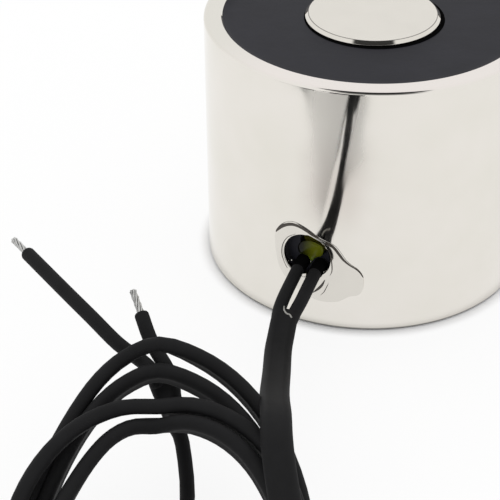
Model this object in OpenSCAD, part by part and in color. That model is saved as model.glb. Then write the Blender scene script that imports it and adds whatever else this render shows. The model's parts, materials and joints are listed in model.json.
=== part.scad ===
// Potted holding electromagnet with a flat twin cord.
// The origin is the centre of the back face, +Z runs up the axis to the holding face,
// and the cable hole looks along -Y.

/* [Steel cup] */
// Outer diameter of the steel cup
cup_d = 25; // [24:0.5:40]
// Height of the cup, from its back to the holding face
cup_h = 20; // [18:0.5:35]
// Wall of the cup
cup_wall = 1.4; // [1:0.1:1.8]
// Thickness of the cup's floor
cup_floor = 3; // [2:0.25:3.5]
// Rounding of the rim's outer edge
rim_round = 0.25; // [0.1:0.05:0.6]
// Chamfer on the inner edge of the rim
rim_chamfer = 0.12; // [0.05:0.01:0.3]
// Rounding of the back's outer edge
back_round = 0.3; // [0.1:0.05:0.8]

/* [Pole core] */
// Diameter of the pole face
pole_d = 10; // [8.5:0.25:11]
// Rounding of the pole's upper edge
pole_round = 0.2; // [0.1:0.05:0.5]
// Diameter of the spigot that is pressed into the cup's floor
spigot_d = 7; // [6:0.25:8]
// Countersink of the cup's floor, into which the spigot's end is spread
stake_chamfer = 0.5; // [0.2:0.05:0.8]

/* [Back thread] */
// Wall diameter of the tapped hole in the back
thread_d = 3.3; // [2.5:0.1:4.2]
// Length of the tapped wall
thread_len = 7; // [4:0.5:9]
// Countersink at the mouth of the tapped hole
thread_sink = 0.35; // [0.1:0.05:0.6]

/* [Winding] */
// Thickness of the paper washer under the bobbin
washer_t = 0.3; // [0.2:0.05:0.5]
// Gap between the core and the bobbin
bobbin_gap = 0.1; // [0.05:0.05:0.3]
// Wall of the bobbin's tube
bobbin_wall = 0.6; // [0.4:0.1:1]
// Thickness of each bobbin flange
flange_t = 0.8; // [0.5:0.1:1.2]
// Radial room between the flanges and the cup, where the leads are joined
lead_room = 2.1; // [2:0.05:2.6]
// Depth of the taped winding below the flanges' edge
winding_inset = 0.45; // [0.2:0.05:0.8]
// Thickness of the tape round the winding
tape_t = 0.15; // [0.1:0.05:0.3]
// Diameter of the winding's two end wires
magnet_wire_d = 0.3; // [0.2:0.05:0.4]
// Width of the tape that holds the two leads, behind the cable hole
lead_tape_w = 5; // [4:0.25:5.5]
// Height of that tape above the cable hole
lead_tape_above = 1; // [0.5:0.25:3]

/* [Resin] */
// Depth of the resin's surface below the rim
resin_recess = 0.4; // [0.2:0.05:1]
// Height of the resin above the bobbin
resin_cover = 1.6; // [1:0.1:3]
// Depth of the resin in the cable hole below the cup's outside
plug_recess = 0.8; // [0.4:0.1:1]
// Diameter of the pocket that the resin left open in the cable hole
pocket_d = 2.2; // [1:0.1:2.4]
// Thickness of the clear resin that ran out round the cable hole
spill_t = 0.2; // [0.1:0.05:0.4]

/* [Cable hole] */
// Diameter of the cable hole
hole_d = 3.5; // [3.4:0.1:4.5]
// Height of the cable hole's centre above the back
hole_z = 6; // [5.5:0.1:8]

/* [Cord] */
// Diameter of each insulated lead, which is half the cord's width
lead_d = 0.95; // [0.8:0.05:1.2]
// Diameter of the tinned conductor in each lead
wire_d = 0.5; // [0.3:0.05:0.6]
// Length of the bare tip at each free end
tip_len = 2; // [1:0.25:4]
// Outer diameter of the sleeve on each soldered joint
sleeve_d = 1.5; // [1.4:0.05:1.6]
// Length of each sleeve
sleeve_len = 5; // [4:0.25:5.5]
// Angle from the cable hole to the middle of each sleeve
sleeve_angle = 33; // [30:1:60]

/* [Cord coil] */
// Outer radius of the coil's wide end
coil_near_r = 9.5; // [8:0.25:11]
// Outer radius of the coil's narrow end, beside the magnet
coil_far_r = 5.4; // [4.5:0.1:7]
// Distance between the centres of the two ends
coil_reach = 9; // [7:0.2:11]
// Width of the bundle along the sides
bundle_w = 2.8; // [2:0.1:3.5]
// Width of the bundle at the narrow end, where the turns spread
bundle_far_w = 5.6; // [3.5:0.1:7]
// Height of the bundle
bundle_h = 3.4; // [2.2:0.1:5]
// Slope of the coil, whose narrow end is held up by the two free leads
coil_tilt = 22; // [10:1:30]

/* [Hidden] */
$fn = 64;

// Clearance of a glued or pressed fit, and the overlap of one cut past another
fit = 0.02;
past = 1;

cup_r = cup_d / 2;
cavity_r = cup_r - cup_wall;
pole_r = pole_d / 2;
thread_r = thread_d / 2;
drill_tip = 118;

bobbin_bore_r = pole_r + bobbin_gap;
bobbin_tube_r = bobbin_bore_r + bobbin_wall;
flange_r = cavity_r - lead_room;
tape_r = flange_r - winding_inset;
winding_r = tape_r - tape_t;
bobbin_z = cup_floor + washer_t;
resin_z = cup_h - resin_recess;
bobbin_top = resin_z - resin_cover;
winding_z = bobbin_z + flange_t;
winding_top = bobbin_top - flange_t;

// Leads: the pair passes the hole a little right of its middle and lies on its lower edge,
// bends aside behind the wall, and each lead ends just short of the split
lead_r = lead_d / 2;
lead_pair_x = 0.25;
lead_pair_gap = 0.4;
lead_hole_gap = 0.03;
lead_pair_reach = lead_pair_x + (lead_d + lead_pair_gap) / 2;
lead_pair_drop = sqrt(pow(hole_d / 2 - lead_r - lead_hole_gap, 2) - pow(lead_pair_reach, 2));
lead_bend = 1;
lead_bend_behind = 0.2;
lead_bend_y = -(cavity_r - lead_bend_behind);
lead_z = hole_z - lead_pair_drop;
mouth_y = -cup_r;
split_gap = 0.2;
// Points of a lead outside the hole: distance aside, out from the wall, and down
lead_out = [[0, 0.1, 0.02], [-0.02, 2, 0.15], [-0.06, 4, 0.5]];

// Soldered joints: level with the leads, and a little nearer the winding than the cup
joint_inset = 0.1;
insulation_t = (lead_d - wire_d) / 2;
joint_r = cavity_r - lead_room / 2 - joint_inset;
joint_z = lead_z;
joint_d = wire_d + insulation_t;
lead_in_sleeve = 1.5;

// Tape that holds the leads: just behind the cup's wall and just above the leads
lead_tape_gap = 0.1;
lead_tape_r = cavity_r - lead_tape_gap;
lead_tape_z = lead_z + lead_r + lead_tape_gap;
lead_tape_top = hole_z + hole_d / 2 + lead_tape_above;

// Places where the cord splits into its leads: at the magnet and at the free end
split_at = [0.5, -17.6, 4.45];
tail_split_long = [-2.85, -31.3, 8.2];
tail_split_short = [-2.25, -30.5, 8.15];

// Route of the twin cord from its split over to the coil, on which it comes to lie
run_route = [split_at, [0.56, -18.4, 4.35], [0.95, -19.7, 4.2], [1.55, -21.5, 4.3], [2.9, -24.7, 5.2],
             [4.85, -29.6, 7.6], [7, -34.2, 10.55], [7.9, -36.3, 10.6], [8.7, -37.9, 9.75],
             [10.3, -40.3, 8.2]];
// Route of the cord's end: down to the floor in the coil, then up under the narrow end, which rests on it
tail_route = [[5.6, -48.6, 1.95], [4.8, -46.9, 1.2], [4, -44.6, 0.65], [3.2, -42, 0.55], [2.4, -38.8, 0.9],
              [1.35, -35.25, 2.2], [-0.15, -32.75, 4.3], [-0.9, -32.25, 5.3], [-1.8, -31.4, 6.9],
              [-2.4, -31, 7.9]];
// Routes of the two free leads, which spring out of the split
long_route = [tail_split_long, [-3.75, -30.8, 8.35], [-5.6, -30.6, 9.1], [-7.9, -29.75, 9.9],
              [-10.4, -28.65, 10.5], [-13.2, -27.2, 10.9], [-16.3, -25.35, 11]];
short_route = [tail_split_short, [-3.25, -29.8, 8.6], [-4.05, -29.3, 9.3], [-5.05, -28.35, 10.1],
               [-6.3, -27.05, 10.7]];

coil_at = [3.4, -43.7];
coil_turn = 24.3;
flat_depth = 0.997;
coil_z = coil_near_r * sin(coil_tilt) + bundle_h / 2 * cos(coil_tilt);
coil_gap_near_r = coil_near_r - bundle_w;
coil_gap_narrowing = 1;
coil_gap_far_r = coil_gap_near_r - coil_gap_narrowing;
coil_gap_reach = coil_reach + coil_far_r - bundle_far_w - coil_gap_far_r;

// Pocket in the resin of the cable hole: place beside the hole's centre
pocket_at = [0.3, 0.75];
// Clear resin round the cable hole: places beside the hole's centre, and radii
spill_lobes = [[-0.3, 0.05, 2.7], [1.3, -0.6, 2.1], [2.75, -1.6, 1.55], [0.9, -2.1, 1.9]];

nickel = "#d9d5cb";
black_resin = "#26272a";
black_pvc = "#1d1d1f";
tin = "#c4c6c8";

// A unit vector, and the side direction of a level route
function unit(v) = v / norm(v);
function tangent(route, i) =
    unit(route[min(i + 1, len(route) - 1)] - route[max(i - 1, 0)]);
function side(route, i) = unit(cross(tangent(route, i), [0, 0, 1]));
function upward(route, i) = cross(side(route, i), tangent(route, i));

// Point part way along one straight stretch, measured back from its second end
function before(a, b, length) = b + unit(a - b) * length;
// All of a route but its last point, and then that point drawn back
function shortened(route, length) =
    let (n = len(route))
    [for (i = [0 : n - 1]) i < n - 1 ? route[i] : before(route[n - 2], route[n - 1], length)];
function last_stretch(route, length) =
    let (n = len(route))
    [before(route[n - 2], route[n - 1], length), route[n - 1]];

// Tube of oval section swept along a route that is nowhere upright
module swept(route, width, height) {
    sides = 8;
    n = len(route);
    points = [for (i = [0 : n - 1]) for (k = [0 : sides - 1])
        let (a = 360 * (k + 0.5) / sides)
        route[i] + side(route, i) * cos(a) * width / 2 + upward(route, i) * sin(a) * height / 2];
    walls = [for (i = [0 : n - 2]) for (k = [0 : sides - 1])
        let (m = (k + 1) % sides, p = i * sides, q = p + sides)
        each [[p + k, p + m, q + m], [p + k, q + m, q + k]]];
    start = [[for (k = [sides - 1 : -1 : 0]) k]];
    end = [[for (k = [0 : sides - 1]) (n - 1) * sides + k]];
    polyhedron(points, concat(walls, start, end));
}

// Half of a turned profile, from its axis to radius r, with its upper edge rounded
module rounded_top(r, z0, z1, edge) {
    translate([0, z0]) square([r, z1 - z0 - edge]);
    translate([0, z1 - edge]) square([r - edge, edge]);
    translate([r - edge, z1 - edge]) intersection() {
        circle(edge);
        square(edge);
    }
}

// Straight bore along -Y through the cup's wall
module across_wall(d, x, z, y0, y1) {
    translate([x, y1, z]) rotate([-90, 0, 0]) cylinder(d = d, h = y0 - y1);
}

module steel_cup() color(nickel) {
    difference() {
        rotate_extrude() difference() {
            union() {
                translate([0, cup_h / 2]) rounded_top(cup_r, 0, cup_h / 2, rim_round);
                translate([0, cup_h / 2]) mirror([0, 1]) rounded_top(cup_r, 0, cup_h / 2, back_round);
            }
            translate([0, cup_floor]) square([cavity_r, cup_h]);
            polygon([[0, cup_h + past], [cavity_r + rim_chamfer + past, cup_h + past],
                     [cavity_r, cup_h - rim_chamfer], [0, cup_h - rim_chamfer]]);
            translate([0, -past]) square([spigot_d / 2 + fit, cup_floor + 2 * past]);
            polygon([[0, 0], [spigot_d / 2 + fit + stake_chamfer, 0],
                     [spigot_d / 2 + fit, stake_chamfer], [0, stake_chamfer]]);
        }
        across_wall(hole_d, 0, hole_z, -cavity_r + cup_wall, -cup_r - past);
    }
}

module pole_core() color(nickel) {
    rotate_extrude() difference() {
        union() {
            rounded_top(pole_r, cup_floor, cup_h, pole_round);
            square([spigot_d / 2, cup_floor + pole_round]);
            polygon([[0, 0], [spigot_d / 2 + stake_chamfer, 0], [spigot_d / 2, stake_chamfer],
                     [0, stake_chamfer]]);
        }
        thread_end = thread_sink + thread_len;
        polygon([[0, 0], [thread_r + thread_sink, 0], [thread_r, thread_sink], [thread_r, thread_end],
                 [0, thread_end + thread_r / tan(drill_tip / 2)]]);
    }
}

module paper_washer() color("#b9a27a") {
    translate([0, 0, cup_floor]) difference() {
        cylinder(r = flange_r, h = washer_t);
        translate([0, 0, -past]) cylinder(r = bobbin_bore_r, h = washer_t + 2 * past);
    }
}

module bobbin() color("#e8e4d8") {
    rotate_extrude() {
        translate([bobbin_bore_r, bobbin_z]) square([bobbin_wall, bobbin_top - bobbin_z]);
        translate([bobbin_bore_r, bobbin_z]) square([flange_r - bobbin_bore_r, flange_t]);
        translate([bobbin_bore_r, winding_top]) square([flange_r - bobbin_bore_r, flange_t]);
    }
}

// The winding's end wire on one hand: -1 is left of the cable hole and 1 is right of it
module end_wire(hand, d) {
    inside = winding_r - bobbin_wall;
    rotate([0, 0, hand * sleeve_angle]) rotate([90, 0, 0])
        translate([0, joint_z, inside]) cylinder(d = d, h = joint_r - joint_d / 2 - inside);
}

module coil_winding() color("#a8572c") {
    rotate_extrude() translate([bobbin_tube_r, winding_z])
        square([winding_r - bobbin_tube_r, winding_top - winding_z]);
    for (hand = [-1, 1]) end_wire(hand, magnet_wire_d);
}

module coil_tape() color("#a9a522") {
    difference() {
        rotate_extrude() translate([winding_r, winding_z]) square([tape_t, winding_top - winding_z]);
        for (hand = [-1, 1]) end_wire(hand, magnet_wire_d);
    }
}

// Strip of tape on the inside of the cup's wall, wound round the magnet's axis
module lead_tape_strip() {
    intersection() {
        rotate_extrude() translate([lead_tape_r - tape_t, lead_tape_z])
            square([tape_t, lead_tape_top - lead_tape_z]);
        translate([-lead_tape_w / 2, mouth_y, 0]) cube([lead_tape_w, cup_r, cup_h]);
    }
}

module lead_tape() color("#a9a522") lead_tape_strip();

// A round bar along a sleeve, which lies along the winding beside the cable hole
module along_sleeve(hand, d, from, to) {
    rotate([0, 0, hand * sleeve_angle]) translate([hand * from, -joint_r, joint_z])
        rotate([0, hand * 90, 0]) cylinder(d = d, h = to - from);
}

module solder_joint(hand) color(tin)
    along_sleeve(hand, joint_d, lead_in_sleeve - sleeve_len / 2, sleeve_len / 2);

module joint_sleeve(hand) color(black_pvc) {
    difference() {
        along_sleeve(hand, sleeve_d, -sleeve_len / 2, sleeve_len / 2);
        along_sleeve(hand, lead_d + 2 * fit, -sleeve_len / 2 - past, sleeve_len / 2 + past);
        end_wire(hand, magnet_wire_d + 2 * fit);
    }
}

function beside_hole(hand) = lead_pair_x + hand * (lead_d + lead_pair_gap) / 2;
// A point along a sleeve's axis, at a distance from its middle
function in_sleeve(hand, along) =
    let (a = hand * sleeve_angle)
    [joint_r * sin(a) + hand * along * cos(a), -joint_r * cos(a) + hand * along * sin(a), joint_z];
// Route of a lead from its soldered joint, through the cable hole and out to the cord's split
function lead_route(hand) =
    let (x = beside_hole(hand))
    [in_sleeve(hand, lead_in_sleeve - sleeve_len / 2), in_sleeve(hand, -sleeve_len / 2),
     for (a = [90, 45, 0])
         [x + hand * lead_bend * (1 - cos(a)), lead_bend_y + lead_bend * sin(a), lead_z],
     for (p = lead_out) [x + hand * p[0], mouth_y - p[1], lead_z - p[2]],
     split_at + [hand * lead_r, split_gap, split_gap]];

module lead(hand) color(black_pvc) swept(lead_route(hand), lead_d, lead_d);

module potting_resin() color(black_resin) {
    difference() {
        union() {
            rotate_extrude() difference() {
                translate([pole_r, cup_floor]) square([cavity_r - pole_r, resin_z - cup_floor]);
                translate([0, cup_floor]) square([flange_r, winding_z - cup_floor]);
                translate([0, cup_floor]) square([tape_r, bobbin_top - cup_floor]);
                translate([0, winding_top]) square([flange_r, flange_t]);
            }
            intersection() {
                across_wall(hole_d, 0, hole_z, -cavity_r + cup_wall, -cup_r - past);
                difference() {
                    cylinder(r = cup_r - plug_recess, h = cup_h);
                    translate([0, 0, -past]) cylinder(r = cavity_r - fit, h = cup_h + 2 * past);
                }
            }
        }
        for (hand = [-1, 1]) {
            along_sleeve(hand, sleeve_d + 2 * fit, -sleeve_len / 2 - fit, sleeve_len / 2 + fit);
            end_wire(hand, magnet_wire_d + 2 * fit);
            swept(lead_route(hand), lead_d + 4 * fit, lead_d + 4 * fit);
        }
        lead_tape_strip();
        across_wall(pocket_d, pocket_at[0], hole_z + pocket_at[1], -lead_tape_r + tape_t, -cup_r - past);
    }
}

module resin_spill() color("#dfe0dc") {
    difference() {
        intersection() {
            translate([0, mouth_y + past, hole_z]) rotate([90, 0, 0]) linear_extrude(2 * past)
                for (lobe = spill_lobes) translate([lobe[0], lobe[1]]) circle(lobe[2]);
            cylinder(r = cup_r + spill_t, h = cup_h);
        }
        translate([0, 0, -past]) cylinder(r = cup_r, h = cup_h + 2 * past);
        across_wall(hole_d, 0, hole_z, -cavity_r, -cup_r - past);
    }
}

// Outline of one round-ended opening: a wide end, a narrow end and flats that just cut into both
module pear(near_r, far_r, reach) {
    slant = asin((near_r - far_r) / reach);
    right = flat_depth * [cos(slant), sin(slant)];
    left = flat_depth * [-cos(slant), sin(slant)];
    far = [0, reach];
    circle(near_r);
    translate(far) circle(far_r);
    polygon([near_r * right, far + far_r * right, far + far_r * left, near_r * left]);
}

module cord_run() color(black_pvc) swept(run_route, 2 * lead_d, lead_d);

module cord_coil() color(black_pvc) {
    translate([coil_at[0], coil_at[1], coil_z]) rotate([coil_tilt, 0, coil_turn])
        linear_extrude(bundle_h, center = true) difference() {
            pear(coil_near_r, coil_far_r, coil_reach);
            pear(coil_gap_near_r, coil_gap_far_r, coil_gap_reach);
        }
}

module cord_tail() color(black_pvc) swept(tail_route, 2 * lead_d, lead_d);

module tail_lead(route) color(black_pvc) swept(shortened(route, tip_len), lead_d, lead_d);

module tail_tip(route) color(tin) swept(last_stretch(route, tip_len), wire_d, wire_d);

steel_cup();
pole_core();
paper_washer();
bobbin();
coil_winding();
coil_tape();
solder_joint(-1);  // solder_joint_left
solder_joint(1);  // solder_joint_right
joint_sleeve(-1);  // joint_sleeve_left
joint_sleeve(1);  // joint_sleeve_right
lead_tape();
potting_resin();
resin_spill();
lead(-1);  // lead_left
lead(1);  // lead_right
cord_run();
cord_coil();
cord_tail();
tail_lead(long_route);  // tail_lead_long
tail_lead(short_route);  // tail_lead_short
tail_tip(long_route);  // tail_tip_long
tail_tip(short_route);  // tail_tip_short
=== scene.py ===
"""Dresses a potted holding electromagnet on its CAD frame: plated cup, tapped core, resin, cord, stage, camera."""

import json
from functools import partial
from math import asin, atan2, copysign, cos, degrees, exp, pi, radians, sin, sqrt, tan, tau

import bpy
from bpy.props import FloatProperty, FloatVectorProperty, IntProperty, PointerProperty
from bpy.types import Node, NodeSocket, Operator, Panel, PropertyGroup
from mathutils import Matrix, Vector


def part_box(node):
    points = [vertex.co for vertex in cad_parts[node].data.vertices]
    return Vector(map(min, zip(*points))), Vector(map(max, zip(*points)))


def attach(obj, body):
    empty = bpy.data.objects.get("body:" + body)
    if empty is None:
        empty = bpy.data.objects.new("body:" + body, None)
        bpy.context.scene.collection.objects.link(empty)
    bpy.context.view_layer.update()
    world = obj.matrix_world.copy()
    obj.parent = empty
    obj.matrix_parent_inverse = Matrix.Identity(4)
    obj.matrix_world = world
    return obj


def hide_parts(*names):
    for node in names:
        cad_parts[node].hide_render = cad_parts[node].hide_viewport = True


bl_info = {
    "name": "Holding electromagnet",
    "version": (1, 0, 0),
    "blender": (4, 5, 0),
    "location": "3D View > Sidebar > Magnet",
    "description": "Builds the visible pieces of a potted holding electromagnet on its CAD frame",
    "category": "Object",
}

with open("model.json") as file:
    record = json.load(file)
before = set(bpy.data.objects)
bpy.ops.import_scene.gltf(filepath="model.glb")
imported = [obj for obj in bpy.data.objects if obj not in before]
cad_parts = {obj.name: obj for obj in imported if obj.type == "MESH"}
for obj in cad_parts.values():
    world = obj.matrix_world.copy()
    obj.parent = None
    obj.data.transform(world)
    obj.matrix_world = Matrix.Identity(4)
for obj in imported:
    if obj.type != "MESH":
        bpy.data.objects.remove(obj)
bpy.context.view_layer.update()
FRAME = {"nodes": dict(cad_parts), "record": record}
MM = 0.001
# Lengths that differ by less are the same
NEAR = 1e-7

CUP_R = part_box("steel_cup")[1][0]
CUP_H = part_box("steel_cup")[1][2]
POLE_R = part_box("pole_core")[1][0]
RESIN_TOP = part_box("potting_resin")[1][2]
CAVITY_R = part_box("potting_resin")[1][0]


def linear(hex_colour):
    """The linear colour of an sRGB hex value."""
    parts = [int(hex_colour[i : i + 2], 16) / 255 for i in (1, 3, 5)]
    return tuple(c / 12.92 if c <= 0.04045 else ((c + 0.055) / 1.055) ** 2.4 for c in parts)


def size(name, mm, text):
    """A length that the user may change, given in millimetres."""
    return FloatProperty(name=name, description=text, default=mm * MM, min=0, unit="LENGTH", precision=5)


def tint(name, hex_colour, text):
    """A colour that the user may change, given as sRGB hex."""
    return FloatVectorProperty(
        name=name, description=text, default=linear(hex_colour), subtype="COLOR", size=3, min=0, max=1
    )


class MagnetCup(PropertyGroup):
    floor: size("Floor", 3, "Thickness of the cup's floor")
    rim_round: size("Rim round", 0.25, "Radius of the rim's outer edge")
    rim_chamfer: size("Rim chamfer", 0.12, "Chamfer of the rim's inner edge")
    back_round: size("Back round", 0.25, "Radius of the back's outer edge")
    hole_r: size("Hole radius", 1.75, "Radius of the cable hole")
    hole_z: size("Hole height", 6, "Height of the cable hole above the back face")
    lip: size("Hole lip", 0.16, "Radius of the cable hole's rounded lip")
    nickel: tint("Nickel", "#E6E3DD", "Bright nickel plating")


class MagnetCore(PropertyGroup):
    pole_edge: size("Pole edge", 0.24, "Width of the pole's broken edge")
    spigot_r: size("Spigot radius", 3.5, "Radius of the spigot staked into the cup's floor")
    stake: size("Stake", 0.5, "Width of the staked edge at the back")
    thread_r: size("Thread radius", 1.65, "Radius of the thread's crests, the tapping size")
    thread_root: size("Thread depth", 0.36, "Depth of the thread")
    pitch: size("Pitch", 0.7, "Pitch of the back thread")
    sink: size("Countersink", 0.35, "Depth of the countersink at the thread's mouth")
    thread_len: size("Thread length", 7, "Length of the tapped wall")
    satin: tint("Pole nickel", "#DDD9D1", "Nickel plating on the ground pole face")


class MagnetResin(PropertyGroup):
    meniscus: size("Meniscus", 0.22, "How far the resin climbs the cup that it set against")
    film: size("Film", 0.12, "Thickness of the clear resin that ran out round the cable hole")
    epoxy: tint("Epoxy", "#1F1F26", "Black casting epoxy")
    clear: tint("Clear resin", "#DAD6CE", "Clear resin film on nickel")


class MagnetCord(PropertyGroup):
    lead_d: size("Lead", 0.95, "Diameter of one insulated lead; the twin cord is two wide")
    wire_d: size("Wire", 0.5, "Diameter of the stranded conductor")
    tip: size("Tip", 2, "Length of the stripped and tinned tip")
    strands: IntProperty(name="Strands", description="Strands round the middle one", default=6, min=3)
    pvc: tint("PVC", "#1C1C1D", "Black extruded PVC")


# The shader's inputs
ROUGH, METAL, GLOSS, COAT = "Roughness", "Metallic", "Specular IOR Level", "Coat Weight"
# Settings of nodes. Map Range has its value in 0, and goes from the number in 1 to that in 2 as its result goes from
# 3 to 4, which are 0 and 1 if not given. Mix has the share in 0, and colours in 6 and 7 or numbers in 2 and 3
TIMES = {"operation": "MULTIPLY"}
SOFT = {"interpolation_type": "SMOOTHSTEP"}
RGB = {"data_type": "RGBA"}


def plug(made, inputs):
    """Sets or links inputs of a node; a node given as a value stands for its first output in use."""
    for key, value in inputs.items():
        if isinstance(value, Node):
            value = next(socket for socket in value.outputs if socket.enabled)
        if isinstance(value, NodeSocket):
            made.id_data.links.new(value, made.inputs[key])
        else:
            made.inputs[key].default_value = value


def add(tree, kind, inputs=None, **settings):
    """Adds one node of the tree's own kind, or of another by its full name, with its settings and inputs."""
    made = tree.nodes.new(kind if "Node" in kind else tree.bl_idname.removesuffix("Tree") + kind)
    for name, value in settings.items():
        setattr(made, name, value)
    plug(made, inputs or {})
    return made


def material(name, colour, inputs):
    """A new material with a Principled shader; returns it, the shader, what adds its nodes, and the object's
    coordinates."""
    made = bpy.data.materials.new(name)
    made.use_nodes = True
    shader = made.node_tree.nodes["Principled BSDF"]
    plug(shader, {"Base Color": toned(colour, 1), **inputs})
    node = partial(add, made.node_tree)
    return made, shader, node, node("TexCoord").outputs["Object"]


def toned(colour, *shares):
    """An opaque colour with its parts times their shares, or all times one share."""
    return (*[min(c * k, 1) for c, k in zip(colour, shares * (3 // len(shares)))], 1)


def bright_nickel(colour):
    """Bright nickel plated on turned steel: a warm mirror, cloudy over millimetres, with a faint
    orange peel and a dull smear up the wall over the cable hole, with a painted shade in it for the cord's
    blurred reflection; painted shade also darkens the foot's under edge and the rim's left."""
    made, shader, node, place = material("bright_nickel_plate", colour, {METAL: 1.0})
    x, y, z = node("SeparateXYZ", {0: place}).outputs
    # Clouds about 5 mm wide, from grey to cream, over a peel of about 2 mm
    cloud = node("TexNoise", {"Vector": place, "Scale": 0.22 / MM, "Detail": 4.0})
    grey, cream = toned(colour, 0.945, 0.945, 0.91), toned(colour, 1.05, 1.035, 1.04)
    tone = node("Mix", {0: cloud, 6: grey, 7: cream}, **RGB)
    gloss = node("MapRange", {0: cloud, 1: 0.3, 2: 0.7, 3: 0.04, 4: 0.09})
    peel = node("TexNoise", {"Vector": place, "Scale": 0.5 / MM, "Detail": 2.0})
    bump = node("Bump", {"Height": peel, "Strength": 0.25, "Distance": 0.01 * MM})
    # The smear stands right of the cable hole, with wavy sides, and fades towards the hole; a painted shade in it,
    # for the cord's blurred reflection, greys the colour and fades upwards
    front = node("Math", {0: y, 1: -1.0}, **TIMES)
    turn = node("Math", {0: x, 1: front}, operation="ARCTAN2")
    aside = node("Math", {0: turn, 1: radians(9.5)}, operation="SUBTRACT")
    aside = node("Math", {0: aside}, operation="ABSOLUTE")
    wavy = node("Math", {0: cloud, 1: 0.16, 2: aside}, operation="MULTIPLY_ADD")
    band = node("MapRange", {0: wavy, 1: 0.33, 2: 0.14}, **SOFT)
    height = node("MapRange", {0: z, 1: 7.5 * MM, 2: 12 * MM}, **SOFT)
    dull_smear_and_shade = node("Math", {0: band, 1: height}, **TIMES)
    fading = node("MapRange", {0: z, 1: 17 * MM, 2: 12.5 * MM})
    painted_reflection_shade = node("Math", {0: dull_smear_and_shade, 1: fading}, **TIMES)
    tone = node("Mix", {0: painted_reflection_shade, 6: tone, 7: toned(colour, 0.88, 0.845, 0.83)}, **RGB)
    # A clean streak leans through the smear, and the plating is dull on both sides of it, up to the rim's round
    lean = node("Math", {0: z, 1: -12.65, 2: turn}, operation="MULTIPLY_ADD")
    left = node("MapRange", {0: lean, 1: -0.01, 2: -0.042}, **SOFT)
    right = node("MapRange", {0: lean, 1: 0.026, 2: 0.052}, **SOFT)
    high = node("MapRange", {0: z, 1: 12 * MM, 2: 15 * MM})
    sides = node("Math", {0: right, 1: high, 2: left}, operation="MULTIPLY_ADD")
    dull = node("Math", {0: dull_smear_and_shade, 1: sides}, **TIMES)
    wall = node("Math", {0: z, 1: CUP_H - 0.3 * MM}, operation="LESS_THAN")
    dull = node("Math", {0: dull, 1: wall}, **TIMES)
    gloss = node("Mix", {0: dull, 2: gloss, 3: 0.42})
    # Painted shade: the edge that turns under at the foot is darkened, for the shadowed floor that it reflects
    level = node("VectorMath", {0: place, 1: (1, 1, 0)}, **TIMES)
    out = node("VectorMath", {0: level}, operation="LENGTH")
    under = node("MapRange", {0: out, 1: CUP_R - 0.22 * MM, 2: CUP_R - 0.12 * MM})
    low = node("MapRange", {0: z, 1: 0.3 * MM, 2: 0.12 * MM}, **SOFT)
    foot_painted_shade = node("Math", {0: under, 1: low}, **TIMES)
    tone = node("Mix", {0: foot_painted_shade, 6: tone, 7: toned(colour, 0.2)}, **RGB)
    # Painted shade: the rim's face has a colour of its own, darker on the left, which stands for a dimmer reflection
    # there
    rim = node("MapRange", {0: z, 1: CUP_H - 0.16 * MM, 2: CUP_H - 0.04 * MM})
    rim_lit_side = node("MapRange", {0: turn, 1: radians(-50), 2: radians(-10)}, **SOFT)
    dim, bright = toned(linear("#DEDBD3"), 1), toned(linear("#E8E2DD"), 1)
    face = node("Mix", {0: rim_lit_side, 6: dim, 7: bright}, **RGB)
    tone = node("Mix", {0: rim, 6: tone, 7: face}, **RGB)
    plug(shader, {"Base Color": tone, ROUGH: gloss, "Normal": bump})
    return made


def satin_nickel(colour):
    """Nickel over a ground pole face: satin, with faint turning rings, drawn 2 mm apart so that they show."""
    made, shader, node, place = material("satin_nickel_plate", colour, {METAL: 1.0})
    level = node("VectorMath", {0: place, 1: (1, 1, 0)}, **TIMES)
    out = node("VectorMath", {0: level}, operation="LENGTH")
    # The turned edge round the face is glossier and so bright, behind a fine dark line of painted shade at the face's
    # edge
    face_r = POLE_R - 0.24 * MM
    gloss = node("MapRange", {0: out, 1: face_r, 2: face_r + 0.04 * MM, 3: 0.26, 4: 0.07})
    line = node("Math", {0: out, 1: face_r, 2: 0.035 * MM}, operation="COMPARE")
    # A wave repeats every tau / 20 of its scale's unit
    scale = 1 / (tau * MM)
    rings = node(
        "TexWave",
        {"Vector": place, "Scale": scale, "Distortion": 0.6, "Detail": 1.0},
        wave_type="RINGS",
        rings_direction="Z",
    )
    bump = node("Bump", {"Height": rings.outputs["Fac"], "Strength": 0.12, "Distance": 0.004 * MM})
    cloud = node("TexNoise", {"Vector": place, "Scale": 0.35 / MM, "Detail": 3.0})
    tone = node("Mix", {0: cloud, 6: toned(colour, 0.95), 7: toned(colour, 1.05)}, **RGB)
    # The fine dark line is painted shade
    tone = node("Mix", {0: line, 6: tone, 7: toned(colour, 0.45)}, **RGB)
    plug(shader, {"Base Color": tone, ROUGH: gloss, "Normal": bump})
    return made


def mottled(name, colour, spread, per_mm, inputs, bump_mm=0.0, bump_per_mm=None):
    """A cast, moulded or drawn surface: its colour drifts by a share of itself, over a fine bump."""
    made, shader, node, place = material(name, colour, inputs)
    cloud = node("TexNoise", {"Vector": place, "Scale": per_mm / MM, "Detail": 3.0})
    dark, pale = toned(colour, 1 - spread), toned(colour, 1 + spread)
    plug(shader, {"Base Color": node("Mix", {0: cloud, 6: dark, 7: pale}, **RGB)})
    if bump_mm:
        scale = (bump_per_mm or per_mm) / MM
        grain = node("TexNoise", {"Vector": place, "Scale": scale, "Detail": 2.0})
        bump = node("Bump", {"Height": grain, "Strength": 0.5, "Distance": bump_mm * MM})
        plug(shader, {"Normal": bump})
    return made


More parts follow.
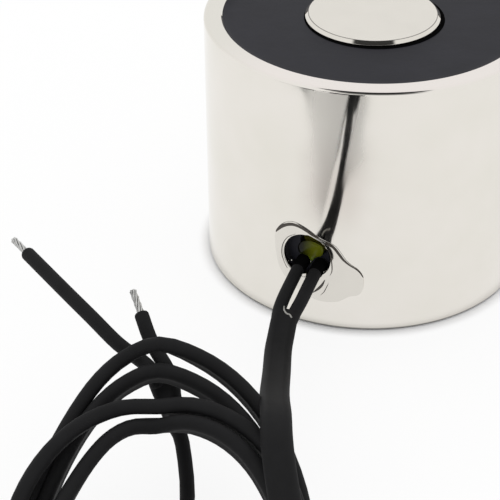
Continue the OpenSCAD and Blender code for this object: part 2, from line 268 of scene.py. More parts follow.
def tape_in_resin():
    """Yellow tape under dark resin, all wet, in painted light and shade: painted shade black at the left, olive at
    the right, a painted lit green where the drop hangs.
    """
    black, olive, lit_green = (toned(linear(colour), 1) for colour in ("#0B0B07", "#5E6312", "#7F9A18"))
    made, shader, node, place = material("resin_over_tape", olive[:3], {ROUGH: 0.15, GLOSS: 0.15})
    x, _, z = node("SeparateXYZ", {0: place}).outputs
    # Painted shade towards the left, and painted light low down where the drop hangs
    right = node("MapRange", {0: x, 1: -0.8 * MM, 2: 0.6 * MM}, **SOFT)
    low = node("MapRange", {0: z, 1: 5.75 * MM, 2: 5.05 * MM}, **SOFT)
    tone = node("Mix", {0: right, 6: black, 7: olive}, **RGB)
    tone = node("Mix", {0: low, 6: tone, 7: lit_green}, **RGB)
    plug(shader, {"Base Color": tone})
    return made


def finishes(scene):
    """Every material, by the record's slot, or by a name of its own where a slot has more than one."""
    resin, cord = scene.magnet_resin, scene.magnet_cord
    rows = {
        # Black filled epoxy that was poured and set in air: satin, a little cloudy
        "potting": ("cast_black_epoxy", resin.epoxy, 0.3, 0.4, {ROUGH: 0.5, GLOSS: 0.14}, 0.02, 1.5),
        # Painted shadow for the crack where the epoxy shrank away from the pole, and for the hole's shade: flat
        # black, as if no light came back out
        "resin_gap_painted_shadow": ("epoxy_shrink_gap", linear("#0A0A0A"), 0.3, 1.0, {ROUGH: 0.9, GLOSS: 0.0}),
        # Clear epoxy set on nickel: the metal's light without its warmth, under a wet gloss
        "clear_resin": ("clear_epoxy_film", resin.clear, 0.04, 0.5, {METAL: 1.0, ROUGH: 0.14, COAT: 1.0}),
        # Painted shade on the thick edge of the clear film, where it turns the light away and shows dark; the ridges
        # take it too
        "resin_edge_shade": ("clear_epoxy_edge", linear("#3A332B"), 0.25, 1.5, {ROUGH: 0.35}),
        # Soft PVC drawn through a die: dull black, faint grain from the die and from handling
        "cord_pvc": ("extruded_black_pvc", cord.pvc, 0.3, 0.6, {ROUGH: 0.7, GLOSS: 0.13}, 0.01, 4.0),
        # PVC that was torn turns pale and shiny; its pale grey is partly a painted glint
        "torn_pvc": ("torn_pvc", linear("#A3A29D"), 0.1, 2.0, {ROUGH: 0.3}),
        # Tinned copper: dull silver with darker dips
        "tin": ("tinned_copper", linear("#C4C4C2"), 0.12, 3.0, {METAL: 1.0, ROUGH: 0.3}, 0.01),
        # Polyester winding tape: glossy; its yellow is painted down to olive, the shade it takes where it is seen
        # down a dark hole
        "tape": ("polyester_winding_tape", linear("#6A6620"), 0.1, 0.6, {ROUGH: 0.25}),
        # Enamelled copper wire: translucent amber on copper
        "magnet_wire": ("enamelled_copper", linear("#B0622E"), 0.1, 2.0, {METAL: 1.0, ROUGH: 0.25, COAT: 0.6}),
        # Natural nylon: milky, moulded smooth
        "nylon": ("moulded_nylon", linear("#E8E4D8"), 0.03, 0.5, {ROUGH: 0.45}),
        # Pressed paper: fibrous, matt tan
        "paper": ("pressed_insulating_paper", linear("#B9A27A"), 0.12, 2.5, {ROUGH: 0.85}, 0.02),
        # Shrunk polyolefin: matt black
        "sleeve": ("shrunk_polyolefin", linear("#1A1A1B"), 0.2, 0.8, {ROUGH: 0.6}, 0.01),
    }
    made = {slot: mottled(*row) for slot, row in rows.items()}
    made["nickel_plate"] = bright_nickel(scene.magnet_cup.nickel)
    made["nickel_pole"] = satin_nickel(scene.magnet_core.satin)
    made["resin_over_tape"] = tape_in_resin()
    return made


# The material's name for each slot and each finish of its own
FINISH = {}


def placed(name, data):
    """A new object in the scene."""
    made = bpy.data.objects.new(name, data)
    bpy.context.collection.objects.link(made)
    return made


def dressed(mesh, slot, finish=None):
    """Makes a mesh a piece of the part: in its slot's finish or another, riding on the one body."""
    mesh.materials.append(bpy.data.materials[FINISH[finish or slot]])
    made = placed(mesh.name, mesh)
    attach(made, "root")
    return made


def surface(name, points, normals, faces):
    """A smooth mesh whose faces look the way their normals do."""
    turned = []
    for face in faces:
        a, b, c = (Vector(points[i]) for i in (face[0], face[1], face[-1]))
        outward = sum((Vector(normals[i]) for i in face), Vector())
        turned.append(tuple(face) if (b - a).cross(c - a).dot(outward) >= 0 else tuple(reversed(face)))
    mesh = bpy.data.meshes.new(name)
    mesh.from_pydata([tuple(p) for p in points], [], turned)
    mesh.shade_smooth()
    mesh.normals_split_custom_set_from_vertices([tuple(Vector(n).normalized()) for n in normals])
    return mesh


def grid(rows, columns, closed=True):
    """Faces between the points of neighbouring rows, each of which may close on itself."""
    return [
        [j * columns + k, j * columns + n, (j + 1) * columns + n, (j + 1) * columns + k]
        for j in range(rows - 1)
        for k, n in enumerate((*range(1, columns), 0))
        if closed or n
    ]


def rounded(corners, steps=5):
    """Points and normals (r, z, nr, nz) along a profile of corners (r, z, radius), with the air on its right."""
    out = []
    for i, (r, z, radius) in enumerate(corners):
        here = Vector((r, z))
        back = Vector(corners[i - 1][:2]) if i else None
        ahead = Vector(corners[i + 1][:2]) if i + 1 < len(corners) else None
        before = (here - back).normalized() if back else (ahead - here).normalized()
        after = (ahead - here).normalized() if ahead else before
        turn = atan2(before.x * after.y - before.y * after.x, before.dot(after))
        normal = Vector((before.y, -before.x))
        if abs(turn) < 1e-4 or not radius:
            mean = (before + after).normalized()
            out.append((r, z, mean.y, -mean.x))
            continue
        hand = 1 if turn > 0 else -1
        start = here - before * radius * tan(abs(turn) / 2)
        centre = start - normal * radius * hand
        for k in range(steps + 1):
            n = Matrix.Rotation(turn * k / steps, 2) @ normal
            p = centre + n * radius * hand
            out.append((p.x, p.y, n.x, n.y))
    return out


def turned_point(r, z, angle):
    """A point of a turned piece; angle 0 is the cable hole's side."""
    return Vector((r * sin(angle), -r * cos(angle), z))


class Lathe:
    """Collects points, normals and faces of a turned piece."""

    def __init__(self, columns):
        self.columns = columns
        self.points, self.normals, self.faces = [], [], []

    def put(self, point, normal):
        self.points.append(point)
        self.normals.append(normal)
        return len(self.points) - 1

    def ring(self, r, z, nr, nz):
        """One row of points round the axis, or a single one on it."""
        if r < NEAR:
            return [self.put(Vector((0, 0, z)), Vector((0, 0, nz or 1)))] * self.columns
        angles = [tau * i / self.columns for i in range(self.columns)]
        return [self.put(turned_point(r, z, a), turned_point(nr, nz, a)) for a in angles]

    def join(self, low, high, skip=()):
        """Faces between two rows, without the columns to skip."""
        for i in range(len(low)):
            if i not in skip:
                j = (i + 1) % len(low)
                face = [low[i], low[j], high[j], high[i]]
                self.faces.append([v for k, v in enumerate(face) if v not in face[:k]])

    def stack(self, rows):
        """Faces between all neighbouring rows."""
        for low, high in zip(rows, rows[1:]):
            self.join(low, high)

    def mesh(self, name):
        """The mesh, without the points that no face uses."""
        used = sorted({v for face in self.faces for v in face})
        place = {v: k for k, v in enumerate(used)}
        faces = [[place[v] for v in face] for face in self.faces]
        return surface(name, [self.points[v] for v in used], [self.normals[v] for v in used], faces)


def hole_through(cup, lathe, rows_out, rows_in, span):
    """Leads the outer wall's window, by the cable hole's lip and bore, to the inner wall's."""
    rays = [radians(-135) + tau * k / (8 * span) for k in range(8 * span)]

    def on_wall(hole_r, a, radius):
        """A wall's point at an angle on a circle round the hole's axis."""
        x = hole_r * cos(a)
        return Vector((x, -sqrt(radius * radius - x * x), cup.hole_z + hole_r * sin(a)))

    def patch(rows, radius, hole_r, sign):
        """Rings between a wall's window and a circle round the hole."""
        edge = [rows[0][i] for i in range(-span, span)] + [row[span] for row in rows[:-1]]
        edge += [rows[-1][i] for i in range(span, -span, -1)] + [row[-span] for row in rows[:0:-1]]
        rings = [edge]
        for s in (0.78, 0.56, 0.37, 0.22, 0.1, 0.0):
            ring = []
            for a, corner in zip(rays, edge):
                rim, near = lathe.points[corner], on_wall(hole_r, a, radius)
                across = asin(near.x / radius) * (1 - s) + atan2(rim.x, -rim.y) * s
                p = turned_point(radius, near.z * (1 - s) + rim.z * s, across)
                ring.append(lathe.put(p, sign * Vector((p.x, p.y, 0)).normalized()))
            rings.append(ring)
        return rings

    inward = [Vector((-cos(a), 0, -sin(a))) for a in rays]
    rings = patch(rows_out, CUP_R, cup.hole_r + cup.lip, 1)
    for t in (22.5, 45, 67.5, 90):
        s, c = sin(radians(t)), cos(radians(t))
        ring = []
        for a, n in zip(rays, inward):
            p = on_wall(cup.hole_r + cup.lip * (1 - s), a, CUP_R)
            out = Vector((p.x, p.y, 0)).normalized()
            ring.append(lathe.put(p - out * cup.lip * (1 - c), out * c + n * s))
        rings.append(ring)
    for r in (CUP_R - 0.5 * MM, CAVITY_R + 0.4 * MM, CAVITY_R):
        rings.append([lathe.put(on_wall(cup.hole_r, a, r), n) for a, n in zip(rays, inward)])
    rings += reversed(patch(rows_in, CAVITY_R, cup.hole_r + 0.05 * MM, -1))
    lathe.stack(rings)


class MAGNET_OT_cup(Operator):
    """Turns the plated cup with its cable hole"""

    bl_idname = "magnet.cup"
    bl_label = "Plated cup"

    def execute(self, context):
        cup, core = context.scene.magnet_cup, context.scene.magnet_core
        # A square window round the cable hole, so many columns and rows to each side of its middle
        span, reach = 9, 2.8 * MM
        window = [cup.hole_z + (k / span - 1) * reach for k in range(2 * span + 1)]
        below = [0.9 * MM, 1.6 * MM, 2.3 * MM]
        above = [window[-1] + (CUP_H - 1 * MM - window[-1]) * k / 9 for k in range(1, 10)]
        z_rows = below + window + above
        outer = [(CUP_R, z, 0) for z in z_rows]
        inner = [(CAVITY_R, z, 0) for z in reversed(z_rows) if z > cup.floor]
        bore = core.spigot_r + 0.02 * MM
        profile = rounded(
            [
                (bore, cup.floor, 0),
                (bore, core.stake, 0),
                (bore + core.stake, 0, 0.04 * MM),
                (CUP_R, 0, cup.back_round),
                *outer,
                (CUP_R, CUP_H, cup.rim_round),
                (CAVITY_R + cup.rim_chamfer, CUP_H, 0.05 * MM),
                (CAVITY_R, CUP_H - cup.rim_chamfer, 0.05 * MM),
                *inner,
                (CAVITY_R, cup.floor, 0),
                (bore, cup.floor, 0),
            ]
        )
        lathe = Lathe(240)
        rows = [lathe.ring(*p) for p in profile]
        windows = []
        for radius in (CUP_R, CAVITY_R):
            wall = {p[1]: row for p, row in zip(profile, rows) if abs(p[0] - radius) < NEAR and p[3] == 0}
            windows.append([wall[z] for z in window])
        gap = {i % lathe.columns for i in range(-span, span)}
        for low, high in zip(rows, rows[1:]):
            cut = any(low in rows_in and high in rows_in for rows_in in windows)
            lathe.join(low, high, gap if cut else ())
        hole_through(cup, lathe, *windows, span)
        made = dressed(lathe.mesh("steel_cup_shell"), "nickel_plate")
        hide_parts("steel_cup")
        return {"FINISHED"}


class MAGNET_OT_core(Operator):
    """Turns the pole core and cuts its back thread"""

    bl_idname = "magnet.core"
    bl_label = "Pole core"

    def execute(self, context):
        cup, core = context.scene.magnet_cup, context.scene.magnet_core
        lathe = Lathe(144)
        outside = rounded(
            [
                (core.thread_r + core.sink, 0, 0),
                (core.spigot_r + core.stake - 0.02 * MM, 0, 0.08 * MM),
                (core.spigot_r, core.stake, 0),
                (core.spigot_r, cup.floor, 0),
                (POLE_R, cup.floor, 0),
                (POLE_R, CUP_H - 1.2 * MM, 0),
                (POLE_R, CUP_H - core.pole_edge, 0.05 * MM),
                (POLE_R - core.pole_edge, CUP_H, 0.04 * MM),
                (POLE_R * 0.6, CUP_H, 0),
                (0, CUP_H, 0),
            ]
        )
        rows = [lathe.ring(*p) for p in outside]
        lathe.stack(rows)
        self.thread(core, lathe, rows[0])
        made = dressed(lathe.mesh("pole_core_turned"), "nickel_pole")
        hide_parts("pole_core")
        return {"FINISHED"}

    def thread(self, core, lathe, mouth):
        """A helical groove in the tapped wall, which runs out at both ends, and the drill's cone above it."""
        per_turn = 14
        rows = int(core.thread_len / core.pitch * per_turn)
        last = mouth
        for j in range(rows + 1):
            z = core.sink + core.thread_len * j / rows
            fade = min(1, j / per_turn + 0.4, (rows - j) / (1.5 * per_turn))
            ring = []
            for i in range(lathe.columns):
                phase = ((z - core.sink) / core.pitch + i / lathe.columns) % 1
                depth = core.thread_root * max(0, 1 - abs(phase - 0.5) / 0.44) * max(fade, 0)
                slope = 0 if depth == 0 else copysign(0.75, phase - 0.5)
                angle = tau * i / lathe.columns
                ring.append(lathe.put(turned_point(core.thread_r + depth, z, angle), turned_point(-1, -slope, angle)))
            lathe.join(last, ring)
            last = ring
        tip = core.sink + core.thread_len + core.thread_r / tan(radians(59))
        lathe.join(last, lathe.ring(0, tip, 0, -1))


def smooth(points, steps=4):
    """Points of a smooth line through the given ones."""
    ends = [2 * points[0] - points[1], *points, 2 * points[-1] - points[-2]]
    out = []
    for a, b, c, d in zip(ends, ends[1:], ends[2:], ends[3:]):
        for k in range(steps):
            t = k / steps
            bend = (2 * a - 5 * b + 4 * c - d) * t * t + (3 * b - a - 3 * c + d) * t**3
            out.append(0.5 * (2 * b + (c - a) * t + bend))
    return [*out, points[-1].copy()]


def parted(path, length):
    """The path in two, with its last stretch of that length apart."""
    tail = [path[-1]]
    for p in reversed(path[:-1]):
        step = (p - tail[0]).length
        if step >= length:
            cut = tail[0].lerp(p, length / step)
            return path[: path.index(p) + 1] + [cut], [cut] + tail
        length -= step
        tail.insert(0, p)
    raise ValueError("the path is shorter than its end")


def round_section(d, sides=20):
    """Points and normals (across, up) round one lead."""
    turns = [tau * k / sides for k in range(sides)]
    return [(cos(t) * d / 2, sin(t) * d / 2, cos(t), sin(t)) for t in turns]


def twin_section(d, sides=11):
    """Points and normals round two leads side by side, with a shallow groove over the web that joins them."""
    out = []
    for hand in (1, -1):
        for k in range(sides):
            t = radians(-98 + 196 * k / (sides - 1))
            c, n = cos(t) * hand, sin(t) * hand
            out.append((hand * d / 2 + c * d / 2, n * d / 2, c, n))
        out.append((0, hand * d * 0.46, 0, hand))
    return out


def headings(path):
    """The direction of a line at each of its points."""
    last = len(path) - 1
    return [(path[min(i + 1, last)] - path[max(i - 1, 0)]).normalized() for i in range(last + 1)]


def tube(name, path, wide, section):
    """A tube whose section's wide side follows the wide directions, with softly cut ends."""
    points, normals = [], []
    ahead, last, count = headings(path), len(path) - 1, len(section)
    edge = max(abs(v[1]) for v in section) * 0.35
    # The place on the path and the lean of each ring; the rings of an end lean outwards
    rings = [(0, 80), (0, 40), *((i, 0) for i in range(last + 1)), (last, 40), (last, 80)]
    for i, lean in rings:
        along = ahead[i]
        u = (wide[i] - along * wide[i].dot(along)).normalized()
        v = along.cross(u)
        outward = along if i else -along
        s, c = sin(radians(lean)), cos(radians(lean))
        for a, b, na, nb in section:
            side = u * na + v * nb
            points.append(path[i] + u * a + v * b + side * edge * (c - 1) + outward * edge * s)
            normals.append(side * c + outward * s)
    faces = grid(len(rings), count)
    for ring, end, before in ((0, path[0], path[1]), (len(rings) - 1, path[-1], path[-2])):
        along = (end - before).normalized()
        points.append(end + along * edge)
        normals.append(along)
        faces += [[ring * count + k, ring * count + (k + 1) % count, len(points) - 1] for k in range(count)]
    return surface(name, points, normals, faces)


def mm(*rows):
    """Points given in millimetres, in metres."""
    return [Vector(r) * MM for r in rows]


# The places where the cord splits into its leads, and its routes, as in the CAD
HOLE_LEADS = Vector((0.25, -12.5, 5.167)) * MM
SPLIT = Vector((0.6, -17.6, 4.45)) * MM
RUN = mm(
    (0.75, -18.4, 4.35), (1.1, -19.7, 4.2), (1.65, -21.5, 4.3), (2.9, -24.7, 5.2), (4.85, -29.6, 7.6),
    (6.9, -34.2, 10.3), (7.9, -36.4, 10.5), (8.8, -38, 9.75), (10.35, -40.4, 8.3),
)
TAIL = mm(
    (4, -44.6, 1.15), (3.2, -42, 1.05), (2.4, -38.8, 1.25), (1.35, -35.25, 2.3), (-0.15, -32.75, 4.3),
    (-0.9, -32.25, 5.3), (-1.8, -31.4, 6.9), (-2.4, -31, 7.9),
)
LONG = mm(
    (-2.85, -31.3, 8.2), (-3.75, -30.8, 8.35), (-5.6, -30.6, 9.1), (-7.9, -29.75, 9.9),
    (-10.4, -28.65, 10.5), (-13.2, -27.2, 10.9), (-16.3, -25.35, 11),
)
SHORT = mm(
    (-2.25, -30.5, 8.15), (-3.25, -29.8, 8.6), (-4.05, -29.3, 9.3), (-5.05, -28.35, 10.1), (-6.3, -27.05, 10.7),
)
# The shred of web that was torn where the leads part
WEB = mm((0.3, -17.3, 4.8), (0.5, -17.75, 4.87), (0.82, -18.08, 4.88), (1.08, -18.12, 4.88), (1.3, -18.33, 4.84))
COIL_AT = Vector((3.4, -43.7, 5.413)) * MM
COIL_TURN, COIL_TILT = radians(24.3), radians(22)
COIL_RIGHT = Vector((cos(COIL_TURN), sin(COIL_TURN), 0))
COIL_FAR = Matrix.Rotation(COIL_TURN, 3, "Z") @ Vector((0, cos(COIL_TILT), sin(COIL_TILT)))
COIL_UP = COIL_RIGHT.cross(COIL_FAR)
# The cord's way from the coil's top over its edge: degrees round it, distance from its middle and height in it, mm,
# and lean in degrees, where 0 stands on edge; and its way from the last turn down to the tail, in the coil's frame
ONTO = ((-3, 7.75, 2.55, 90), (-20, 8.8, 2.5, 75), (-34, 9.55, 1.7, 45), (-47, 9.8, 0.6, 20), (-62, 9.6, -0.4, 5))
INTO = ((7.1, -1.0, 1.0), (5.9, -3.4, 0.2), (3.7, -4.9, -1.2), (1.5, -4.6, -2.8))
# Near, left, far and right side of each turn: distance from the coil's middle and height in it, mm, and lean
TURNS = (
    (9.0, -1.0, 0), (8.55, -1.0, 0), (14.25, 0.3, -30), (9.0, -1.3, 0),
    (7.95, -1.0, 0), (7.4, -1.0, 0), (12.4, 0.0, -14), (8.0, -1.2, 0),
    (8.5, 1.0, 0), (8.2, 1.0, 0), (10.05, 0.0, -28), (8.6, 1.0, 0),
    (7.2, 0.8, 0), (6.6, 0.4, 0), (8.95, -0.4, -30), (7.4, 1.1, 0),
)
# How much straighter than an ellipse each turn goes from the left to the far side
STRAIGHT = (0.155, 0.095, 0.0, 0.17)


def eased(value, low, high):
    """From 0 at the low value to 1 at the high one, softly."""
    t = min(max((value - low) / (high - low), 0), 1)
    return t * t * (3 - 2 * t)


def in_coil(x, y, up):
    """A point of the coil's own frame, in millimetres, in the part's frame."""
    return COIL_AT + (COIL_RIGHT * x + COIL_FAR * y + COIL_UP * up) * MM


def coil_turns(steps=6):
    """Points of the coil's turns and the directions of the cord's wide side, which mostly stands on edge."""
    rows = []
    for turn, r, up, lean in ONTO:
        angle = radians(turn)
        rows.append((r * cos(angle), r * sin(angle), up, lean))
    for i, (here, ahead) in enumerate(zip(TURNS, TURNS[1:])):
        side = i % 4
        for k in range(steps):
            f = k / steps
            angle = -pi / 2 * (i + 1 + f)
            # Near to left, left to far, far to right, right to near: where on the way the cord changes its layer
            ease = (eased(f, 0, 1), f**4, 1 - (1 - f) ** 4, eased(f, 0.28, 0.65))[side]
            across, along = (ahead[0], here[0]) if i % 2 == 0 else (here[0], ahead[0])
            up = here[1] + (ahead[1] - here[1]) * ease
            lean = here[2] + (ahead[2] - here[2]) * (sin(pi / 2 * f) if side == 1 else ease)
            straight = STRAIGHT[i // 4] * sin(pi * f) if side == 1 else 0
            rows.append((across * cos(angle) * (1 - straight), along * sin(angle), up, lean))
    points, wide = [], []
    for x, y, up, lean in rows:
        points.append(in_coil(x, y, up))
        outward = (COIL_RIGHT * x + COIL_FAR * y).normalized()
        wide.append(COIL_UP * cos(radians(lean)) + outward * sin(radians(lean)))
    return points, wide


def flat(path):
    """Sideways directions of a path that lies flat."""
    up = Vector((0, 0, 1))
    return [along.cross(up).normalized() for along in headings(path)]


def twin_route():
    """The twin cord's line from the split at the magnet to the split at its free end, and its wide directions."""
    turns, turns_wide = coil_turns()
    into = [in_coil(*place) for place in INTO]
    line = [SPLIT, *RUN, *turns, *into, *TAIL]
    end_wide = [COIL_UP.copy() for _ in into] + [Vector((0.35, -0.64, 0.68)) for _ in TAIL]
    level = flat(TAIL)[-1]
    for k, share in ((-3, 0.12), (-2, 0.55), (-1, 1.0)):
        end_wide[k] = end_wide[k].lerp(level, share).normalized()
    wide = flat([SPLIT, *RUN]) + turns_wide + end_wide
    for i in range(1, len(wide)):
        if wide[i].dot(wide[i - 1]) < 0:
            wide[i] = -wide[i]
    return smooth(line, 3), smooth(wide, 3)


def lead_route(hand, lead_d):
    """A lead's line from inside the potting, through the cable hole and out to the cord's split."""
    start = HOLE_LEADS + Vector((hand * (lead_d + 0.4 * MM) / 2, 0, 0))
    behind = [start + v for v in mm((hand * 0.9, 3.3, 0), (hand * 0.2, 2.4, 0), (0, 1.3, 0), (0, -0.1, -0.02))]
    side = flat([SPLIT, *RUN])[0]
    side = side * (lead_d / 2) * (1 if side.x * hand > 0 else -1)
    ahead = (RUN[0] - SPLIT).normalized() * MM
    torn = SPLIT + side * 1.2 - ahead * 0.25
    bow = ((0.35, 0.03, 0.1), (0.75, 0.06, 0.08))
    way = [start.lerp(torn, t) + Vector((hand * out, 0, up)) * MM for t, out, up in bow]
    return smooth([*behind, *way, torn, SPLIT + side + ahead * 0.7])


def strand_tree():
    """A stranded wire: strands round a middle one, twisted along the line that is given."""
    tree = bpy.data.node_groups.new("stranded_wire", "GeometryNodeTree")
    ports = {"Line": "Geometry", "Strands": "Int", "Wire diameter": "Float", "Twist": "Float", "Metal": "Material"}
    for name, kind in ports.items():
        tree.interface.new_socket(name=name, in_out="INPUT", socket_type="NodeSocket" + kind)
    tree.interface.new_socket(name="Wire", in_out="OUTPUT", socket_type="NodeSocketGeometry")
    node = partial(add, tree)
    given = node("NodeGroupInput").outputs
    # A strand's radius, and how far the outer strands lie from the middle one
    strand = node("ShaderNodeMath", {0: given["Wire diameter"], 1: 1 / 6}, **TIMES)
    orbit = node("ShaderNodeMath", {0: given["Wire diameter"], 1: 0.33}, **TIMES)
    thread = node("CurvePrimitiveCircle", {"Resolution": 8, "Radius": strand})
    circle = node("CurvePrimitiveCircle", {"Resolution": given["Strands"], "Radius": orbit})
    places = node("CurveToPoints", {"Curve": circle}, mode="EVALUATED")
    around = node("InstanceOnPoints", {"Points": places, "Instance": thread})
    rounds = node("RealizeInstances", {0: around})
    bundle = node("JoinGeometry", {0: rounds})
    plug(bundle, {0: thread})
    line = node("MeshToCurve", {0: given["Line"]})
    along = node("SplineParameter")
    tilt = node("ShaderNodeMath", {0: along, 1: given["Twist"]}, **TIMES)
    twisted = node("SetCurveTilt", {"Curve": line, "Tilt": tilt})
    wire = node("CurveToMesh", {"Curve": twisted, "Profile Curve": bundle, "Fill Caps": True})
    soft = node("SetShadeSmooth", {0: wire})
    real = node("RealizeInstances", {0: soft})
    done = node("SetMaterial", {"Geometry": real, "Material": given["Metal"]})
    node("NodeGroupOutput", {"Wire": done})
    return tree


def grown(name, line, tree, values):
    """The plain mesh that a tree makes of a line of points, with its inputs set by name."""
    start = bpy.data.meshes.new(name + "_line")
    start.from_pydata([tuple(p) for p in line], [(i, i + 1) for i in range(len(line) - 1)], [])
    made = placed(name + "_line", start)
    step = made.modifiers.new("tree", "NODES")
    step.node_group = tree
    for port in tree.interface.items_tree:
        if port.name in values:
            step[port.identifier] = values[port.name]
    shown = made.evaluated_get(bpy.context.evaluated_depsgraph_get())
    mesh = bpy.data.meshes.new_from_object(shown)
    mesh.name = name
    mesh.materials.clear()
    bpy.data.objects.remove(made)
    bpy.data.meshes.remove(start)
    return mesh


# The clear resin's outline round the cable hole: degrees and distance from its middle, mm
FILM = (
    (150.9, 2.9), (133.2, 3.0), (117.5, 2.99), (104.5, 2.8), (86.4, 2.4), (62.6, 2.13), (40.1, 2.42), (29.7, 2.62),
    (17, 2.77), (6, 2.99), (-2, 3.4), (-7, 3.92), (-12.1, 4.3), (-17.6, 4.55), (-27.9, 4.85), (-34.9, 4.84),
    (-42, 4.45), (-55.9, 4.29), (-74.9, 3.83), (-97, 3.22), (-121, 2.9), (-144, 2.72), (-171, 2.53), (167, 2.67),
)
# The drop of resin that shows the tape in the cable hole: places right of and above the hole's middle, mm
DROP = (
    (-0.95, 0.25), (-0.7, 0.62), (-0.18, 0.84), (0.38, 0.82), (0.92, 0.58), (1.02, 0.18), (0.86, -0.26), (0.5, -0.46),
    (0.28, -0.7), (0.1, -0.98), (-0.1, -0.96), (-0.3, -0.72), (-0.6, -0.5), (-0.9, -0.35), (-1.0, 0),
)
# Ridges that the resin left beside the leads and along the hole's lip: width, then places, mm
RIDGES = (
    (0.2, ((1.49, -1.72), (1.28, -2.21), (1.0, -2.61), (0.6, -3.05))),
    (0.06, ((1.77, -1.93), (1.65, -2.28), (1.45, -2.78), (1.2, -3.13))),
    (0.09, ((1.48, 1.28), (1.81, 0.73), (1.96, -0.04), (2.0, -0.81), (1.85, -1.28))),
    (0.07, ((-0.82, 1.76), (-1.48, 1.26), (-1.88, 0.49), (-1.95, -0.33), (-1.74, -1.0), (-1.48, -1.46))),
)
# Beads of clear resin against the leads, on the drop's tip and between the leads: place and diameter, mm
BEADS = (
    (-1.3, -12.1, 5.1, 0.13), (0.14, -11.86, 5.24, 0.13), (1.33, -12.5, 5.06, 0.24), (-0.03, -12.75, 4.62, 0.36),
)
# Strokes of painted shade where the film's edge turns the light away: from and to, degrees, and greatest width, mm
STROKES = ((153, 58, 0.31), (50, -16, 0.27))


def ring_of(points, steps=5):
    """Points of a smooth closed line through the given ones."""
    count = len(points)
    whole = smooth([points[i % count] for i in range(-2, count + 3)], steps)
    return whole[2 * steps : (count + 2) * steps]


def webbed(name, rings):
    """A mesh through rings of points; its faces look away from the axis."""
    count, normals = len(rings[0]), []
    for j, ring in enumerate(rings):
        inner, outer = rings[max(j - 1, 0)], rings[min(j + 1, len(rings) - 1)]
        for k, p in enumerate(ring):
            n = (ring[(k + 1) % count] - ring[k - 1]).cross(outer[k] - inner[k]).normalized()
            normals.append(n if n.dot(Vector((p.x, p.y, 0))) > 0 else -n)
    return surface(name, [p for ring in rings for p in ring], normals, grid(len(rings), count))


